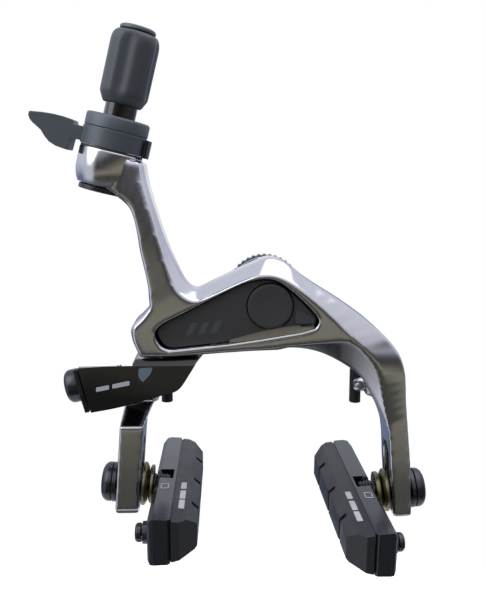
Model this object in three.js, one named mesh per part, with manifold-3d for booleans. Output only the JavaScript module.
// Side-pull road rim brake caliper, opened by its return spring and closed by a cable link.
// Millimetres. +X is to the right seen from the front, +Y runs back to the fork crown, +Z is up.
// The origin lies on the centre bolt's axis, on the rear face of the toothed washer.

import * as THREE from 'three';
import { mergeVertices } from 'three/addons/utils/BufferGeometryUtils.js';
import Module from 'manifold-3d';

const wasm = await Module();
wasm.setup();
const { Manifold, Mesh: ManifoldMesh } = wasm;

// ---- driving dimensions -------------------------------------------------------------------

const GAP = 0.3;                       // clearance between neighbouring pieces
const TURN_SEGMENTS = 32;              // facets round a turned piece
const SMALL_SEGMENTS = 20;             // facets round a small turned piece

// layers along the centre bolt, from the crown forward
const CROWN_Y = 0;
const TOOTHED_WASHER_THICKNESS = 2.4;
const BLOCK_BACK_Y = -2.7;
const BLOCK_PLATE_Y = -4.2;
const BLOCK_FRONT_Y = -8;
const LEFT_ARM_BACK_Y = -8.3;
const LEFT_PLATE_FRONT_Y = -13.6;
const LEFT_HUB_FRONT_Y = -14.8;
const FRONT_ARM_BACK_Y = -16;
const POCKET_FLOOR_Y = -24;
const LIP_Y = -28;
const STUD_END_Y = 19.5;
const STUD_RADIUS = 3;
const BUSH_OUTER_RADIUS = 4.6;
const CAP_RADIUS = 5.5;
const TOOTH_COUNT = 40;
const TOOTHED_WASHER_RADIUS = 10.2;

// arms and legs
const LEG_BACK_Y = -12;
const LEG_FRONT_Y = -24;
const LEG_LEAN = THREE.MathUtils.degToRad(4.6);
const BOLT_Y = -18;                    // centre of both legs, front to back
const SLOT_HALF_WIDTH = 3.2;
const PAD_BOLTS = {
  left: { side: -1, x: -35.8, z: -48, half: 3.05, slotUp: 9, slotDown: 1, toe: 0.5, pitch: 1.4 },
  right: { side: 1, x: 34.5, z: -50.6, half: 2.7, slotUp: 10, slotDown: 0.4, toe: 3, pitch: 4.5 },
};

// cable link, hung on the left arm, and the roller that it pushes
const LINK_PIVOT = { x: -25.3, z: -17.2 };
const LINK_BACK_Y = -14.2;
const LINK_FRONT_Y = -26;
const LINK_BOLT_RADIUS = 1.75;
const LINK_BOLT_TIP_Y = -21.6;
const LINK_END = { x: -45.7, y: -20.1, z: -20.4, turn: THREE.MathUtils.degToRad(166.8) };
const ROLLER = { x: -29.6, z: -9.9, radius: 2.5, backY: -16.4, frontY: -20 };

// barrel adjuster, leaning in to the right at its top
const BARREL_FOOT = { x: -38, y: -20, z: 37 };
const BARREL_LEAN = THREE.MathUtils.degToRad(14);
const BOSS_RADIUS = 7.3;
const BOSS_LENGTH = 8.6;
const SLEEVE_RADIUS = 3.85;
const RING_RADIUS = 7.75;
const KNOB_RADIUS = 5.85;
const KNOB_LOBES = 4;

// brake shoes
const SHOE_LENGTH = 52;
const HOLDER_THICKNESS = 5.3;
const SHOE_THICKNESS = 11.5;
const SHOE_TOP = 3;
const SHOE_BOTTOM = -8.4;
const SHOE_OFFSET = 6.8;               // leg's middle to the holder's outer face

const SCREW_SEAT = [0, -18.4, -4];      // retention screw on the holder's outer face

// return spring
const WIRE_RADIUS = 0.9;
const SPRING_Y = -6;
const SPRING_POST = { x: 9.2, z: -0.6, radius: 1.6, coil: 3 };
const SLIPPERS = {
  left: { x: -26.7, top: -23.5, bottom: -29.6 },
  right: { x: 24.8, top: -21, bottom: -30.2 },
};

// ---- finishes -------------------------------------------------------------------------------

const FINISHES = {
  polished: { color: 0xb9b9c0, roughness: 0.18, metalness: 1 },
  blackGloss: { color: 0x151517, roughness: 0.2, metalness: 0.3 },
  blackAnodised: { color: 0x2c2e31, roughness: 0.45, metalness: 0.6 },
  composite: { color: 0x2b2c2e, roughness: 0.5, metalness: 0 },
  rubber: { color: 0x3b3b3d, roughness: 0.8, metalness: 0 },
  grip: { color: 0x33353a, roughness: 0.6, metalness: 0 },
  steel: { color: 0x9a9a98, roughness: 0.35, metalness: 1 },
  darkSteel: { color: 0x45464a, roughness: 0.35, metalness: 1 },
  bronze: { color: 0x8a7f5c, roughness: 0.4, metalness: 1 },
  nylon: { color: 0x1b1b1c, roughness: 0.55, metalness: 0 },
};

// ---- solids ---------------------------------------------------------------------------------

/** Points given as pairs, as vectors, and a shape with straight sides through them. */
const vectors = (points) => points.map(([a, b]) => new THREE.Vector2(a, b));

const polygon = (points) => new THREE.Shape(vectors(points));

/** A closed geometry as a Manifold facing out, with its seams welded. */
function solid(geometry) {
  const bare = new THREE.BufferGeometry();
  bare.setAttribute('position', geometry.getAttribute('position'));
  if (geometry.index) bare.setIndex(geometry.index);
  const welded = mergeVertices(bare, 1e-4);
  const position = welded.getAttribute('position');
  const corner = (i) => new THREE.Vector3().fromBufferAttribute(position, i);
  const kept = [];
  let volume = 0;
  for (let i = 0; i < welded.index.count; i += 3) {
    const [a, b, c] = [0, 1, 2].map((k) => welded.index.getX(i + k));
    if (a === b || b === c || c === a) continue;
    kept.push([a, b, c]);
    volume += corner(a).dot(corner(b).cross(corner(c)));
  }
  const triangles = volume > 0 ? kept : kept.map(([a, b, c]) => [a, c, b]);
  return new Manifold(new ManifoldMesh({
    numProp: 3,
    vertProperties: new Float32Array(position.array),
    triVerts: new Uint32Array(triangles.flat()),
  }));
}

/** A named mesh from a Manifold. */
function named(name, shape, finish) {
  const mesh = shape.getMesh();
  const geometry = new THREE.BufferGeometry();
  geometry.setAttribute('position', new THREE.BufferAttribute(mesh.vertProperties, 3));
  geometry.setIndex(new THREE.BufferAttribute(mesh.triVerts, 1));
  geometry.computeVertexNormals();
  const piece = new THREE.Mesh(geometry, new THREE.MeshStandardMaterial(FINISHES[finish]));
  piece.name = name;
  return piece;
}

/** Turned round the Y axis from [radius, y] pairs that start and end on the axis or close. */
function turned(profile, segments = TURN_SEGMENTS) {
  return new THREE.LatheGeometry(vectors(profile), segments);
}

const turnedY = (profile, segments) => solid(turned(profile, segments));
const turnedZ = (profile, segments) => solid(turned(profile, segments).rotateX(Math.PI / 2));
const turnedX = (profile, segments) => solid(turned(profile, segments).rotateZ(-Math.PI / 2));

/** The closed [radius, height] profile of a plain tube. */
const tube = (inner, outer, low, high) => [
  [inner, low], [outer, low], [outer, high], [inner, high], [inner, low],
];

/** The closed [radius, height] profile of a plain rod. */
const rod = (radius, low, high) => [[0, low], [radius, low], [radius, high], [0, high]];

/** A shape drawn in X and Z, made thick from backY forward to frontY. */
function prismXZ(shape, backY, frontY, curveSegments = 8) {
  const geometry = new THREE.ExtrudeGeometry(shape, {
    depth: backY - frontY, bevelEnabled: false, curveSegments,
  });
  return solid(geometry.rotateX(Math.PI / 2).translate(0, backY, 0));
}

/** A shape drawn in Y and Z, made thick from lowX to highX. */
function prismYZ(shape, lowX, highX) {
  const geometry = new THREE.ExtrudeGeometry(shape, { depth: highX - lowX, bevelEnabled: false });
  const turn = new THREE.Matrix4().makeBasis(
    new THREE.Vector3(0, 1, 0), new THREE.Vector3(0, 0, 1), new THREE.Vector3(1, 0, 0),
  );
  return solid(geometry.applyMatrix4(turn).translate(lowX, 0, 0));
}

/** A shape drawn in X and Y, made thick from lowZ to highZ. */
function prismXY(shape, lowZ, highZ) {
  const geometry = new THREE.ExtrudeGeometry(shape, { depth: highZ - lowZ, bevelEnabled: false });
  return solid(geometry.translate(0, 0, lowZ));
}

function block(low, high) {
  const size = high.map((value, i) => value - low[i]);
  const middle = high.map((value, i) => (value + low[i]) / 2);
  return solid(new THREE.BoxGeometry(...size).translate(...middle));
}


/** A closed outline made smooth through every point. */
function smoothOutline(points, steps = 3) {
  const curve = new THREE.CatmullRomCurve3(
    points.map(([x, z]) => new THREE.Vector3(x, z, 0)), true, 'centripetal',
  );
  return polygon(curve.getPoints(points.length * steps).slice(0, -1).map((p) => [p.x, p.y]));
}

/** A slot with round ends, drawn in two axes round its lower and upper centres. */
function slotShape(low, high, halfWidth) {
  const angle = Math.atan2(high[1] - low[1], high[0] - low[0]);
  const shape = new THREE.Shape();
  shape.absarc(high[0], high[1], halfWidth, angle - Math.PI / 2, angle + Math.PI / 2);
  shape.absarc(low[0], low[1], halfWidth, angle + Math.PI / 2, angle + Math.PI * 1.5);
  return shape;
}

/** A closed skin over rings of equal length, with both end rings capped. */
function ringLoft(rings, capPlane) {
  const count = rings[0].length;
  const index = [];
  for (let r = 0; r + 1 < rings.length; r += 1) {
    for (let i = 0; i < count; i += 1) {
      const next = (i + 1) % count;
      const [a, b] = [r * count + i, r * count + next];
      index.push(a, b, b + count, a, b + count, a + count);
    }
  }
  const cap = (ring, offset, flip) => {
    const flat = ring.map((point) => capPlane(point));
    THREE.ShapeUtils.triangulateShape(flat, []).forEach(([a, b, c]) => {
      index.push(offset + a, offset + (flip ? c : b), offset + (flip ? b : c));
    });
  };
  cap(rings[0], 0, true);
  cap(rings.at(-1), (rings.length - 1) * count, false);
  const geometry = new THREE.BufferGeometry().setFromPoints(rings.flat());
  geometry.setIndex(index);
  return solid(geometry);
}

// ---- front arm ------------------------------------------------------------------------------

// Stations round the front arm, each [front edge x, z, outer edge x, z], from the boss down the
// neck's left side, round the lobe, along the arch and the right leg, and back over the top.
const FRONT_ARM_RUNS = [
  [[-42.4, 36.4, -44.6, 36.4], [-41.8, 30.2, -43.4, 29.4], [-37.4, 27.6, -38, 26.6],
    [-33.9, 25, -34.2, 24.2], [-32.1, 20.5, -32.5, 20.5], [-30.8, 13, -31.4, 13],
    [-29.4, 6, -29.8, 6], [-28.6, 0.2, -29, 0]],
  [[-28.6, 0.2, -29, 0], [-30.5, -2.6, -31, -2.4], [-32.8, -5.2, -33.6, -5],
    [-32.7, -8.2, -33.4, -8.2], [-31.1, -11.9, -31.6, -12.4]],
  [[-31.1, -11.9, -31.6, -12.4], [-24, -11.9, -24, -12.4], [-12, -11.1, -12, -11.5],
    [0, -10.3, 0, -10.9], [7.4, -9.7, 7.4, -11.1], [13, -9.1, 13, -12.4], [19.2, -8.5, 19.4, -15.8],
    [23.8, -12.4, 23.2, -18.9], [27, -17, 26.4, -23.6], [28.4, -24.5, 28.9, -28.5], [30, -31, 30.4, -33],
    [31.3, -43, 31.2, -43], [32.5, -56, 32.3, -56]],
  [[32.5, -56, 32.3, -56], [33.1, -56, 37.2, -56]],
  [[33.1, -56, 37.2, -56], [31.8, -43, 36.6, -43], [30, -31, 35.4, -31], [29, -24.5, 34.8, -24],
    [27.6, -17, 34.4, -18], [24.3, -11.8, 32.7, -12.9], [19.6, -7.6, 27.7, -7.2], [12, 0.2, 18.2, 0.2],
    [7, 4.4, 8.2, 6.7], [2.2, 7.1, 4, 10.2], [-1.6, 7.6, 0, 11.4], [-5, 6.7, -3, 10.4],
    [-14.3, 2.6, -14.6, 5], [-18, 1.5, -18, 3.5], [-22, 3.6, -20.4, 5.2], [-24.6, 8.5, -22.6, 9.4],
    [-26.6, 15, -25, 15], [-29, 23.5, -27.8, 23.5], [-31, 30, -29.6, 30], [-31.6, 34.3, -30.2, 34.3]],
  [[-31.6, 34.3, -30.2, 34.3], [-42.4, 36.4, -44.6, 36.4]],
];
const RUN_STEPS = 3;
const NECK_LEAN = 0.055;               // rise over run of the neck's front face
const SHOULDER_Z = -8;
const CREASE_Z = -31;

/** How far a value has passed from one limit to the other, held between 0 and 1. */
const passed = (value, from, to) => THREE.MathUtils.clamp((value - from) / (to - from), 0, 1);

/** The front edge's depth: level round the window, and sloping back down the leg to its crease. */
function frontEdgeY(x, z) {
  return x > 0 ? LIP_Y + (LEG_FRONT_Y - LIP_Y) * passed(z, SHOULDER_Z, CREASE_Z) : LIP_Y;
}

/** Cuts the neck's front face to lean back from a slanting crease above the lobe. */
function leanNeckBack(shape) {
  const crease = new THREE.Vector3(-29, LIP_Y, 0);
  const keep = new THREE.Vector3(0.486 * NECK_LEAN, 1, -0.874 * NECK_LEAN).normalize();
  return shape.trimByPlane(keep.toArray(), keep.dot(crease));
}

/** The bevel's back edge: deep along the top and the arch, shallow round the lobe and legs. */
function outerEdgeY(x, z) {
  if (x < -28 && z < 2) return LIP_Y + 1.2;
  if (z < -9 && x < 4) return LIP_Y + 1.2;
  if (x > 20 && z < -10) return -23 - 0.5 * passed(z, -10, CREASE_Z);
  return -23.4;
}

/** What is cut off behind the hub, lobe and neck, to clear the left arm. */
function behindFrontArm() {
  const neckBackY = FRONT_ARM_BACK_Y + 2.5;
  const hub = prismYZ(polygon([
    [LEG_BACK_Y + 1, -20], [FRONT_ARM_BACK_Y, -20], [FRONT_ARM_BACK_Y, 10], [neckBackY, 28], [neckBackY, 45],
    [LEG_BACK_Y + 1, 45],
  ]), -60, 14);
  const shoulder = prismXY(polygon([
    [13.9, LEG_BACK_Y + 1], [13.9, FRONT_ARM_BACK_Y], [14, FRONT_ARM_BACK_Y],
    [24, LEG_BACK_Y], [24, LEG_BACK_Y + 1],
  ]), -20, 12);
  return hub.add(shoulder);
}

function frontArmRings() {
  const rings = [[], [], []];
  FRONT_ARM_RUNS.forEach((run) => {
    const steps = (run.length - 1) * (run.length > 2 ? RUN_STEPS : 1);
    const curves = [0, 2].map((k) => new THREE.CatmullRomCurve3(
      run.map((station) => new THREE.Vector3(station[k], 0, station[k + 1])), false, 'centripetal',
    ));
    for (let i = 0; i < steps; i += 1) {
      const [front, outer] = curves.map((curve) => curve.getPoint(i / steps));
      rings[0].push(new THREE.Vector3(front.x, frontEdgeY(front.x, front.z), front.z));
      rings[1].push(new THREE.Vector3(outer.x, outerEdgeY(outer.x, outer.z), outer.z));
      rings[2].push(new THREE.Vector3(outer.x, LEG_BACK_Y, outer.z));
    }
  });
  return rings;
}

// the window in the front arm's hub, with its round corners given by close points
const WINDOW = [
  [-27.9, -6.2], [-26.6, -4.6], [-20.5, -1.4], [-13, 2.5], [-6.5, 5.6], [-2.4, 6.6], [1.4, 6.2],
  [5.2, 3.6], [10.6, -1.6], [11.8, -3.6], [10.8, -5.3], [4, -6.9], [-8, -8.6], [-20, -9.9],
  [-25, -10.2], [-26.6, -9.2],
];

/** The window drawn smaller by a margin all round. */
function windowShape(margin) {
  const middle = [-8, -2.2];
  return smoothOutline(WINDOW.map(([x, z]) => {
    const [dx, dz] = [x - middle[0], z - middle[1]];
    const scale = 1 - margin / Math.min(Math.hypot(dx, dz), 9);
    return [middle[0] + dx * scale, middle[1] + dz * scale];
  }));
}

/** The long hole that a pad bolt slides in, through one leg. */
function legSlot({ side, x, z, slotUp, slotDown }) {
  const along = [-side * Math.sin(LEG_LEAN), Math.cos(LEG_LEAN)];
  const [low, high] = [z - slotDown * along[1], z + slotUp * along[1]];
  const shape = slotShape([BOLT_Y, low], [BOLT_Y, high], SLOT_HALF_WIDTH);
  return prismYZ(shape, Math.min(x - 8, x + 8), Math.max(x - 8, x + 8));
}

/** Turns a solid made along the barrel's own axis into the caliper's frame. */
function atBarrel(shape) {
  return shape
    .rotate([0, THREE.MathUtils.radToDeg(BARREL_LEAN), 0])
    .translate([BARREL_FOOT.x, BARREL_FOOT.y, BARREL_FOOT.z]);
}

const BUSHING_RADIUS = 5.6;
const RETAINER_RADIUS = 6;
const TENSION_SCREW = { y: -10.1, z: -24.3, shank: 1.3, head: 1.9 };

function frontArm() {
  const skin = leanNeckBack(ringLoft(frontArmRings(), (p) => new THREE.Vector2(p.x, p.z)))
    .subtract(behindFrontArm());
  const boss = atBarrel(turnedZ([
    [0, -BOSS_LENGTH], [BOSS_RADIUS - 1, -BOSS_LENGTH], [BOSS_RADIUS, -BOSS_LENGTH + 1.5],
    [BOSS_RADIUS, -0.6], [BOSS_RADIUS - 0.5, 0], [0, 0],
  ]));
  const tab = block([26.5, LEG_BACK_Y - 1, -26.8], [29.4, SPRING_Y + 2, -21.6]);
  const cuts = [
    prismXZ(windowShape(0), POCKET_FLOOR_Y, LIP_Y - 1),
    turnedY(rod(BUSH_OUTER_RADIUS + GAP, FRONT_ARM_BACK_Y + 1, POCKET_FLOOR_Y - 1)),
    legSlot(PAD_BOLTS.right),
    atBarrel(turnedZ(rod(BUSHING_RADIUS + GAP, -BOSS_LENGTH - 3, 1))),
    atBarrel(turnedZ(rod(RETAINER_RADIUS + GAP, -BOSS_LENGTH - 3, -BOSS_LENGTH))),
    turnedX(rod(TENSION_SCREW.shank + GAP, 20, 34)).translate([0, TENSION_SCREW.y, TENSION_SCREW.z]),
    turnedY(rod(ROLLER.radius + 0.5, FRONT_ARM_BACK_Y + 1, ROLLER.frontY - GAP), SMALL_SEGMENTS)
      .translate([ROLLER.x, 0, ROLLER.z]),
    block([ROLLER.x - 2.6, ROLLER.frontY - GAP, -14], [ROLLER.x + 2.6, FRONT_ARM_BACK_Y + 1, ROLLER.z]),
    turnedY(rod(1.2 + GAP, ROLLER.frontY + 1, -24), SMALL_SEGMENTS).translate([ROLLER.x, 0, ROLLER.z]),
  ];
  return named('front_arm', skin.add(boss).add(tab).subtract(Manifold.union(cuts)), 'polished');
}

// ---- left arm -------------------------------------------------------------------------------

const LEFT_HUB_RADIUS = 8.6;

/** The left arm seen from the front: hub, arch and leg. */
function leftArmOutline() {
  const shape = new THREE.Shape();
  shape.moveTo(-LEFT_HUB_RADIUS, 0);
  shape.absarc(0, 0, LEFT_HUB_RADIUS, Math.PI * 0.75, -Math.PI * 0.55, true);
  shape.splineThru(vectors([
    [-9, -10.6], [-15.4, -14], [-19.6, -18.8], [-24.5, -23.6], [-28.8, -26.6], [-31.4, -31],
  ]));
  shape.lineTo(-33.3, -54.6);
  shape.lineTo(-39.3, -54.6);
  shape.lineTo(-37.4, -30);
  shape.splineThru(vectors([[-36, -22], [-31.5, -14.5], [-24, -7.5], [-14, 0.5]]));
  return shape;
}

/** The left arm seen from the side: a plate behind the front arm, stepping forward to a leg. */
const LEFT_ARM_SIDE = polygon([
  [LEFT_ARM_BACK_Y, 12], [LEFT_ARM_BACK_Y, -24], [LEG_BACK_Y, -30], [LEG_BACK_Y, -54.6],
  [LEG_FRONT_Y + 1.4, -54.6], [LEG_FRONT_Y, -53], [LEG_FRONT_Y, CREASE_Z], [LEFT_PLATE_FRONT_Y, -26.9],
  [LEFT_PLATE_FRONT_Y, 12],
]);

function leftArm() {
  const plate = prismXZ(leftArmOutline(), LEFT_ARM_BACK_Y + 1, LEG_FRONT_Y - 1, 5)
    .intersect(prismYZ(LEFT_ARM_SIDE, -60, 20));
  const hub = turnedY(rod(LEFT_HUB_RADIUS, LEFT_HUB_FRONT_Y, LEFT_ARM_BACK_Y));
  const tab = block([-31.4, LEG_BACK_Y - 1, -27.6], [-28.4, SPRING_Y + 2, -22.5]);
  const { x, z } = LINK_PIVOT;
  const cuts = [
    turnedY(rod(BUSH_OUTER_RADIUS + GAP, LEFT_HUB_FRONT_Y - 1, LEFT_ARM_BACK_Y + 1)),
    turnedY(rod(LINK_BOLT_RADIUS + GAP, LEFT_PLATE_FRONT_Y - 1, LEFT_ARM_BACK_Y), SMALL_SEGMENTS)
      .translate([x, 0, z]),
    turnedY(rod(3.4, -10.6, LEFT_ARM_BACK_Y + 1), SMALL_SEGMENTS).translate([x, 0, z]),
    legSlot(PAD_BOLTS.left),
  ];
  return named('left_arm', plate.add(hub).add(tab).subtract(Manifold.union(cuts)), 'polished');
}

// ---- centre pivot ---------------------------------------------------------------------------

function centerBolt() {
  return named('center_bolt', turnedY([
    [0, -26], [2.6, -26], [STUD_RADIUS, -25.6], [STUD_RADIUS, STUD_END_Y - 0.8],
    [STUD_RADIUS - 0.8, STUD_END_Y], [0, STUD_END_Y],
  ]), 'steel');
}

function toothedWasher() {
  const rim = [];
  for (let i = 0; i < TOOTH_COUNT * 2; i += 1) {
    const radius = TOOTHED_WASHER_RADIUS - (i % 2) * 0.45;
    const angle = (i * Math.PI) / TOOTH_COUNT;
    rim.push([radius * Math.cos(angle), radius * Math.sin(angle)]);
  }
  const plate = prismXZ(polygon(rim), CROWN_Y, CROWN_Y - TOOTHED_WASHER_THICKNESS);
  return named('toothed_washer', plate.subtract(turnedY(rod(STUD_RADIUS + GAP, -5, 1))), 'blackAnodised');
}

function springBlock() {
  const { x, z, radius } = SPRING_POST;
  const plate = prismXZ(slotShape([-x, z], [x, z], 3.8), BLOCK_BACK_Y, BLOCK_PLATE_Y);
  const hub = turnedY(rod(5, BLOCK_FRONT_Y, BLOCK_PLATE_Y + 0.5));
  const post = turnedY(rod(radius, BLOCK_FRONT_Y, BLOCK_PLATE_Y + 0.5), SMALL_SEGMENTS);
  const posts = [-1, 1].map((side) => post.translate([side * x, 0, z]));
  const bore = turnedY(rod(STUD_RADIUS + GAP, -10, 0));
  return named('spring_block', Manifold.union([plate, hub, ...posts]).subtract(bore), 'nylon');
}

/** The wire's middle line: up from one slipper, over each post, under the hub, down to the other. */
function springPath() {
  const { x, z, coil } = SPRING_POST;
  const wrap = (side, degrees) => {
    const angle = THREE.MathUtils.degToRad(degrees);
    return [side * (x + coil * Math.cos(angle)), z + coil * Math.sin(angle)];
  };
  const foot = ({ x: footX, top, bottom }) => [bottom + 0.5, bottom + 3, top + 0.5].map((pz) => [footX, pz]);
  const half = (side, slipper) => [
    ...foot(slipper), [side * 20.2, -13], [side * 14.6, -5.4], wrap(side, 0), wrap(side, 45), wrap(side, 90),
    wrap(side, 135), wrap(side, 180), [side * 5.7, -4], [side * 3, -6.4],
  ];
  const [left, right] = [half(-1, SLIPPERS.left), half(1, SLIPPERS.right).reverse()];
  return new THREE.CatmullRomCurve3(
    [...left, ...right].map(([px, pz]) => new THREE.Vector3(px, SPRING_Y, pz)), false, 'centripetal',
  );
}

function returnSpring() {
  const section = new THREE.Shape().absarc(0, 0, WIRE_RADIUS, 0, Math.PI * 2);
  const geometry = new THREE.ExtrudeGeometry(section, {
    steps: 70, curveSegments: 5, bevelEnabled: false, extrudePath: springPath(),
  });
  return named('return_spring', solid(geometry), 'steel');
}

function slipper(side) {
  const { x, top, bottom } = SLIPPERS[side];
  const body = prismXY(slotShape([x, SPRING_Y - 0.3], [x, SPRING_Y + 0.3], 1.5), bottom, top);
  const hole = turnedZ(rod(WIRE_RADIUS + GAP, bottom + GAP / 2, top + 5), SMALL_SEGMENTS)
    .translate([x, SPRING_Y, 0]);
  return named(`spring_slipper_${side}`, body.subtract(hole), 'nylon');
}

function bush(name, back, front) {
  return named(name, turnedY(tube(STUD_RADIUS + GAP, BUSH_OUTER_RADIUS, front, back)), 'bronze');
}

function thrustWasher() {
  return named('thrust_washer', turnedY(tube(STUD_RADIUS + GAP, 7, -15.7, -15.1)), 'bronze');
}

function pivotNut() {
  const hexagon = polygon([0, 1, 2, 3, 4, 5].map((i) => {
    const angle = (i * Math.PI) / 3;
    return [4.4 * Math.cos(angle), 4.4 * Math.sin(angle)];
  }));
  const bore = turnedY(rod(STUD_RADIUS + GAP, -30, -20));
  return named('pivot_nut', prismXZ(hexagon, POCKET_FLOOR_Y - GAP, -26).subtract(bore), 'darkSteel');
}

function pivotCap() {
  return named('pivot_cap', turnedY([
    [CAP_RADIUS, POCKET_FLOOR_Y - GAP], [CAP_RADIUS, -26.8], [CAP_RADIUS - 0.4, -27.2], [0, -27.2],
    [0, -26.3], [4.8, -26.3], [4.8, POCKET_FLOOR_Y - GAP], [CAP_RADIUS, POCKET_FLOOR_Y - GAP],
  ]), 'composite');
}

function windowInsert() {
  const plate = prismXZ(windowShape(GAP), POCKET_FLOOR_Y - GAP, -26.4);
  const hole = turnedY(rod(CAP_RADIUS + GAP, -30, -20));
  return named('window_insert', plate.subtract(hole), 'composite');
}

function tensionScrew() {
  const { y, z, shank, head } = TENSION_SCREW;
  return named('tension_screw', turnedX([
    [0, 23.6], [1.2, 23.8], [head - 0.3, 24.7], [head, 25.6], [head, 26.2], [shank, 26.2],
    [shank, 29.8], [0, 29.8],
  ], SMALL_SEGMENTS).translate([0, y, z]), 'steel');
}

// ---- cable link -----------------------------------------------------------------------------

/** The link seen from the front: a wide cable end, narrowing to the pivot eye. */
function linkOutline() {
  const shape = new THREE.Shape();
  shape.moveTo(-46.9, -15.2);
  shape.lineTo(-44.2, -26.8);
  shape.splineThru(vectors([[-38, -25.6], [-31.4, -23.8], [-25.6, -22]]));
  shape.splineThru(vectors([[-22.4, -20.8], [-19.6, -16.8], [-17.6, -13.4]]));
  shape.lineTo(-22.6, -13.2);
  shape.lineTo(-30, -13.1);
  shape.lineTo(-32.8, -13.2);
  shape.splineThru(vectors([[-34.4, -14.6], [-40, -14.8], [-46.9, -15.2]]));
  return shape;
}

const LINK_BUSH = { inner: 2.05, outer: 2.65 };
const ANCHOR_SHANK = 2.5;

function cableLink() {
  const { x, z } = LINK_PIVOT;
  const body = prismXZ(linkOutline(), LINK_BACK_Y, LINK_FRONT_Y, 6);
  const side = prismYZ(polygon([
    [LINK_BACK_Y, -12], [LINK_BACK_Y, -30], [LINK_FRONT_Y + 1.6, -30], [LINK_FRONT_Y, -22],
    [LINK_FRONT_Y, -14.8], [LINK_FRONT_Y + 1.4, -12],
  ]), -60, 0);
  const fallingTop = prismYZ(polygon([
    [LINK_FRONT_Y - 1, -14.4], [LINK_BACK_Y + 1, -18.4], [LINK_BACK_Y + 1, -10], [LINK_FRONT_Y - 1, -10],
  ]), -60, -33.6);
  const bore = turnedY(rod(LINK_BUSH.outer + GAP, -22, LINK_BACK_Y + 1), SMALL_SEGMENTS).translate([x, 0, z]);
  const anchor = turnedX(rod(ANCHOR_SHANK + GAP, -10, 2), SMALL_SEGMENTS)
    .rotate([0, THREE.MathUtils.radToDeg(LINK_END.turn), 0])
    .translate([LINK_END.x, LINK_END.y, LINK_END.z]);
  const link = body.intersect(side).subtract(Manifold.union([fallingTop, bore, anchor]));
  return named('cable_link', link, 'blackGloss');
}

/** The plate and the bolt that clamp the cable on the link's outer end. */
function cableAnchor() {
  const group = new THREE.Group();
  group.position.set(LINK_END.x, LINK_END.y, LINK_END.z);
  group.rotation.y = LINK_END.turn;
  const outline = polygon([[-5.6, -5.1], [4.6, -2.6], [4.6, 5.4], [3.6, 6.4], [-4.8, 6.4], [-5.6, 1.6]]);
  const plate = prismYZ(outline, GAP, 1.5)
    .subtract(turnedX(rod(ANCHOR_SHANK + GAP, -2, 4), SMALL_SEGMENTS));
  const bolt = turnedX([
    [0, -9.4], [ANCHOR_SHANK, -9.4], [ANCHOR_SHANK, 1.8], [4.1, 1.8], [4.1, 4.2], [3.2, 5.1], [1.9, 5.1],
    [1.9, 3.2], [0, 3.2],
  ], 24);
  group.add(named('clamp_plate', plate, 'darkSteel'), named('anchor_bolt', bolt, 'darkSteel'));
  return group;
}

function linkBush() {
  const { inner, outer } = LINK_BUSH;
  return named('link_bush', turnedY(tube(inner, outer, -21.7, LINK_BACK_Y - GAP), SMALL_SEGMENTS)
    .translate([LINK_PIVOT.x, 0, LINK_PIVOT.z]), 'bronze');
}

function linkPivotBolt() {
  return named('link_pivot_bolt', turnedY([
    [0, -8.9], [1.3, -8.9], [1.3, -8.6], [2.8, -8.6], [3.1, -8.9], [3.1, -10.3], [LINK_BOLT_RADIUS, -10.3],
    [LINK_BOLT_RADIUS, LINK_BOLT_TIP_Y], [0, LINK_BOLT_TIP_Y],
  ], SMALL_SEGMENTS).translate([LINK_PIVOT.x, 0, LINK_PIVOT.z]), 'darkSteel');
}

function camRoller() {
  const { x, z, radius, backY, frontY } = ROLLER;
  return named('cam_roller', turnedY(tube(1.5, radius, frontY, backY), 24).translate([x, 0, z]), 'steel');
}

function rollerPin() {
  return named('roller_pin', turnedY(rod(1.2, -23.6, ROLLER.backY), SMALL_SEGMENTS)
    .translate([ROLLER.x, 0, ROLLER.z]), 'darkSteel');
}

// ---- barrel adjuster and quick release ------------------------------------------------------

function adjusterBushing() {
  const profile = tube(SLEEVE_RADIUS + GAP, BUSHING_RADIUS, -BOSS_LENGTH, -GAP);
  return named('adjuster_bushing', turnedZ(profile), 'nylon');
}

function retainingRing() {
  const profile = tube(SLEEVE_RADIUS + GAP, RETAINER_RADIUS, -BOSS_LENGTH - 1.5, -BOSS_LENGTH - GAP);
  return named('retaining_ring', turnedZ(profile), 'darkSteel');
}

/** The ring that turns to open the brake, with its finger tab, drawn round the barrel's axis. */
function releaseLever() {
  const ring = turnedZ(tube(SLEEVE_RADIUS + 0.5, RING_RADIUS, 0.3, 4.7));
  const outline = new THREE.Shape();
  outline.moveTo(-6, 4);
  outline.lineTo(-9.5, 4);
  outline.lineTo(-9.9, 4.9);
  outline.bezierCurveTo(-13, 5.3, -16, 5.2, -20.2, 4.4);
  outline.lineTo(-20.3, 3.5);
  outline.bezierCurveTo(-19.8, 2, -18.2, 1.7, -16.8, 0.8);
  outline.bezierCurveTo(-15, -1, -14.6, -2.2, -9.7, -2.3);
  outline.lineTo(-9.5, 0.7);
  outline.lineTo(-6, 0.7);
  const tab = prismXZ(outline, 3.4, -3.4, 4);
  return named('release_lever', ring.add(tab.subtract(turnedZ(rod(6.6, -8, 8)))), 'blackAnodised');
}

function releaseCollar() {
  return named('release_collar', turnedZ([
    [SLEEVE_RADIUS + GAP, 5], [RING_RADIUS - 0.1, 5], [RING_RADIUS - 0.1, 7.5], [RING_RADIUS - 0.5, 8],
    [SLEEVE_RADIUS + GAP, 8], [SLEEVE_RADIUS + GAP, 5],
  ]), 'blackAnodised');
}

function releaseClip() {
  const outer = RING_RADIUS + 1.2;
  const band = turnedZ(tube(RING_RADIUS + GAP, outer, 0.1, 4.4));
  return named('release_clip', band.intersect(block([4, -3, -2], [outer + 1, 3, 6])), 'darkSteel');
}

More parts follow.
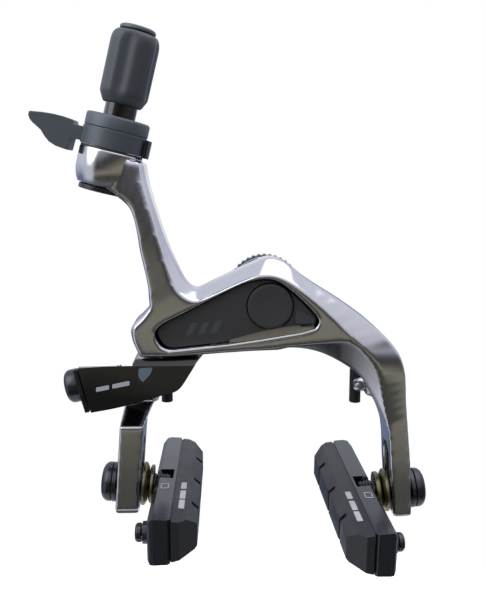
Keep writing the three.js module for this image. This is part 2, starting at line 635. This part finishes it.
function adjusterScrew() {
  return named('adjuster_screw', turnedZ(tube(2.7, SLEEVE_RADIUS, -BOSS_LENGTH - 1, 17.6)), 'blackGloss');
}

/** One ring of the knob: a circle with shallow flutes between its lobes. */
function knobRing(height, radius, flute) {
  const steps = KNOB_LOBES * 10;
  return Array.from({ length: steps }, (_, i) => {
    const angle = (i * 2 * Math.PI) / steps;
    const reach = radius - flute * Math.max(0, Math.cos(KNOB_LOBES * angle)) ** 2;
    return new THREE.Vector3(reach * Math.cos(angle), reach * Math.sin(angle), height);
  });
}

function adjusterKnob() {
  const body = ringLoft([
    knobRing(11, 4.7, 0), knobRing(13.4, KNOB_RADIUS, 0.2), knobRing(15, KNOB_RADIUS, 0.7),
    knobRing(25.5, KNOB_RADIUS, 0.7), knobRing(27.2, KNOB_RADIUS - 0.3, 0.3), knobRing(28, 4.9, 0),
  ], (p) => new THREE.Vector2(p.x, p.y));
  const bores = turnedZ(rod(SLEEVE_RADIUS + GAP, 10, 18)).add(turnedZ(rod(3.6, 17, 30)));
  return named('adjuster_knob', body.subtract(bores), 'grip');
}

function housingSeat() {
  return named('housing_seat', turnedZ([
    [1.3, 18.4], [3.3, 18.4], [3.3, 28.3], [4.3, 28.3], [4.3, 28.8], [3.9, 29.3], [2.6, 29.3],
    [2.6, 20.6], [1.3, 20.6], [1.3, 18.4],
  ]), 'blackAnodised');
}

// ---- brake shoes ----------------------------------------------------------------------------

/** A group whose X points out of a leg and whose Z points up along it, at the pad bolt. */
function legFrame({ side, x, z }) {
  const group = new THREE.Group();
  const out = new THREE.Vector3(side * Math.cos(LEG_LEAN), 0, Math.sin(LEG_LEAN));
  const up = new THREE.Vector3(-side * Math.sin(LEG_LEAN), 0, Math.cos(LEG_LEAN));
  const across = new THREE.Vector3().crossVectors(up, out);
  group.setRotationFromMatrix(new THREE.Matrix4().makeBasis(out, across, up));
  group.position.set(x, BOLT_Y, z);
  return group;
}

/** The bolt and washers that clamp one shoe to its leg. */
function padFasteners(side) {
  const group = legFrame(PAD_BOLTS[side]);
  const face = PAD_BOLTS[side].half + GAP;
  const bolt = turnedX([
    [0, -10.6], [2.8, -10.6], [2.8, face + 1.3], [5, face + 1.3], [5, face + 2.2], [4.1, face + 3.4],
    [2.1, face + 3.9], [2.1, face + 2], [0, face + 2],
  ], 24);
  const outer = turnedX(tube(3.2, 5.1, face, face + 1), 24);
  const seat = face + 1.4;
  const dished = turnedX([
    [3.2, -face], [5.6, -face], [5.6, -face - 0.7], [4.4, -seat], [3.2, -seat], [3.2, -face],
  ], 24);
  const ball = turnedX([
    [3.2, -seat - GAP], [4.2, -seat - GAP], [5, -seat - 0.7], [5, -6.1], [3.2, -6.1], [3.2, -seat - GAP],
  ], 24);
  group.add(
    named(`${side}_pad_bolt`, bolt, 'darkSteel'),
    named(`${side}_outer_washer`, outer, 'steel'),
    named(`${side}_dished_washer`, dished, 'bronze'),
    named(`${side}_ball_washer`, ball, 'bronze'),
  );
  return group;
}

/** A shoe's plan view, [inward, along], blunt at the back and rounded at the front. */
function shoePlan(low, high) {
  const half = SHOE_LENGTH / 2;
  const middle = Math.min(high - 0.6, 7.5);
  return polygon([
    [low, half - 1.6], [low, 1.2 - half], [low + 0.6, 0.3 - half], [low + 1.5, -half], [middle, -half],
    [high, high - middle - half], [high, half - high + middle], [middle, half], [low + 2.2, half],
  ]);
}

/** The shoe's group: X inward from the holder's outer face, Y along it, Z up. */
function shoeFrame(side) {
  const { side: sign, x, z, toe, pitch } = PAD_BOLTS[side];
  const group = new THREE.Group();
  group.position.set(
    x - sign * SHOE_OFFSET * Math.cos(LEG_LEAN), BOLT_Y, z - SHOE_OFFSET * Math.sin(LEG_LEAN),
  );
  const degrees = THREE.MathUtils.degToRad;
  group.rotation.set(degrees(pitch), 0, sign * degrees(toe), 'ZYX');
  return group;
}

/** Places a solid drawn with X pointing inward on its own side of the rim. */
const inward = (shape, sign) => (sign < 0 ? shape : shape.mirror([1, 0, 0]));

function shoe(side) {
  const sign = PAD_BOLTS[side].side;
  const group = shoeFrame(side);
  const reach = SHOE_LENGTH / 2 + 1;
  const holderSection = polygon([
    [0, SHOE_TOP - 1.4], [1.2, SHOE_TOP], [HOLDER_THICKNESS, SHOE_TOP - 0.2],
    [HOLDER_THICKNESS, SHOE_BOTTOM + 0.2], [0.6, SHOE_BOTTOM], [0, SHOE_BOTTOM + 0.8],
  ]);
  const padBack = HOLDER_THICKNESS + GAP;
  const padSection = polygon([
    [padBack, SHOE_TOP - 0.5], [9.2, SHOE_TOP - 0.9], [SHOE_THICKNESS, SHOE_TOP - 3],
    [SHOE_THICKNESS, SHOE_BOTTOM + 2.8], [SHOE_THICKNESS - 0.6, SHOE_BOTTOM + 2.2],
    [padBack, SHOE_BOTTOM + 0.7],
  ]);
  const holder = prismXZ(holderSection, reach, -reach)
    .intersect(prismXY(shoePlan(0, HOLDER_THICKNESS), -20, 20))
    .subtract(turnedX(rod(4, -1, 4.6), 24))
    .add(turnedX(rod(2.7, -1.6, 1), SMALL_SEGMENTS).translate(SCREW_SEAT))
    .subtract(turnedX(rod(1.1, -4, 3), SMALL_SEGMENTS).translate(SCREW_SEAT));
  const notch = ([y, width]) => block(
    [SHOE_THICKNESS - 1.6, y - width / 2, SHOE_BOTTOM - 1], [SHOE_THICKNESS + 1, y + width / 2, SHOE_TOP + 1],
  );
  const pad = prismXZ(padSection, reach, -reach)
    .intersect(prismXY(shoePlan(padBack - 2, SHOE_THICKNESS), -20, 20))
    .subtract(Manifold.union([[-14, 1.4], [0, 1.4], [14, 1.4]].map(notch)));
  const screw = turnedX([
    [0, -2.8], [1, -2.8], [1, -3.4], [1.8, -3.4], [2.3, -2.9], [2.3, -1.9], [0.8, -1.9], [0.8, 2.6], [0, 2.6],
  ], SMALL_SEGMENTS).translate(SCREW_SEAT);
  group.add(
    named(`${side}_pad_holder`, inward(holder, sign), 'nylon'),
    named(`${side}_brake_pad`, inward(pad, sign), 'rubber'),
    named(`${side}_retention_screw`, inward(screw, sign), 'darkSteel'),
  );
  return group;
}

// ---- the whole caliper ----------------------------------------------------------------------

function barrelGroup() {
  const group = new THREE.Group();
  group.position.set(BARREL_FOOT.x, BARREL_FOOT.y, BARREL_FOOT.z);
  group.rotation.y = BARREL_LEAN;
  group.add(
    adjusterBushing(), retainingRing(), releaseLever(), releaseCollar(), releaseClip(),
    adjusterScrew(), adjusterKnob(), housingSeat(),
  );
  return group;
}

const caliper = new THREE.Group();
caliper.add(
  centerBolt(), toothedWasher(), springBlock(), returnSpring(), thrustWasher(), pivotNut(), pivotCap(),
  slipper('left'), slipper('right'),
  frontArm(), windowInsert(), bush('front_arm_bush', FRONT_ARM_BACK_Y - GAP, POCKET_FLOOR_Y + GAP),
  tensionScrew(), rollerPin(), camRoller(),
  leftArm(), bush('left_arm_bush', LEFT_ARM_BACK_Y - GAP, LEFT_HUB_FRONT_Y + GAP), linkPivotBolt(),
  cableLink(), cableAnchor(), linkBush(),
  barrelGroup(),
  padFasteners('left'), padFasteners('right'), shoe('left'), shoe('right'),
);

export default caliper;
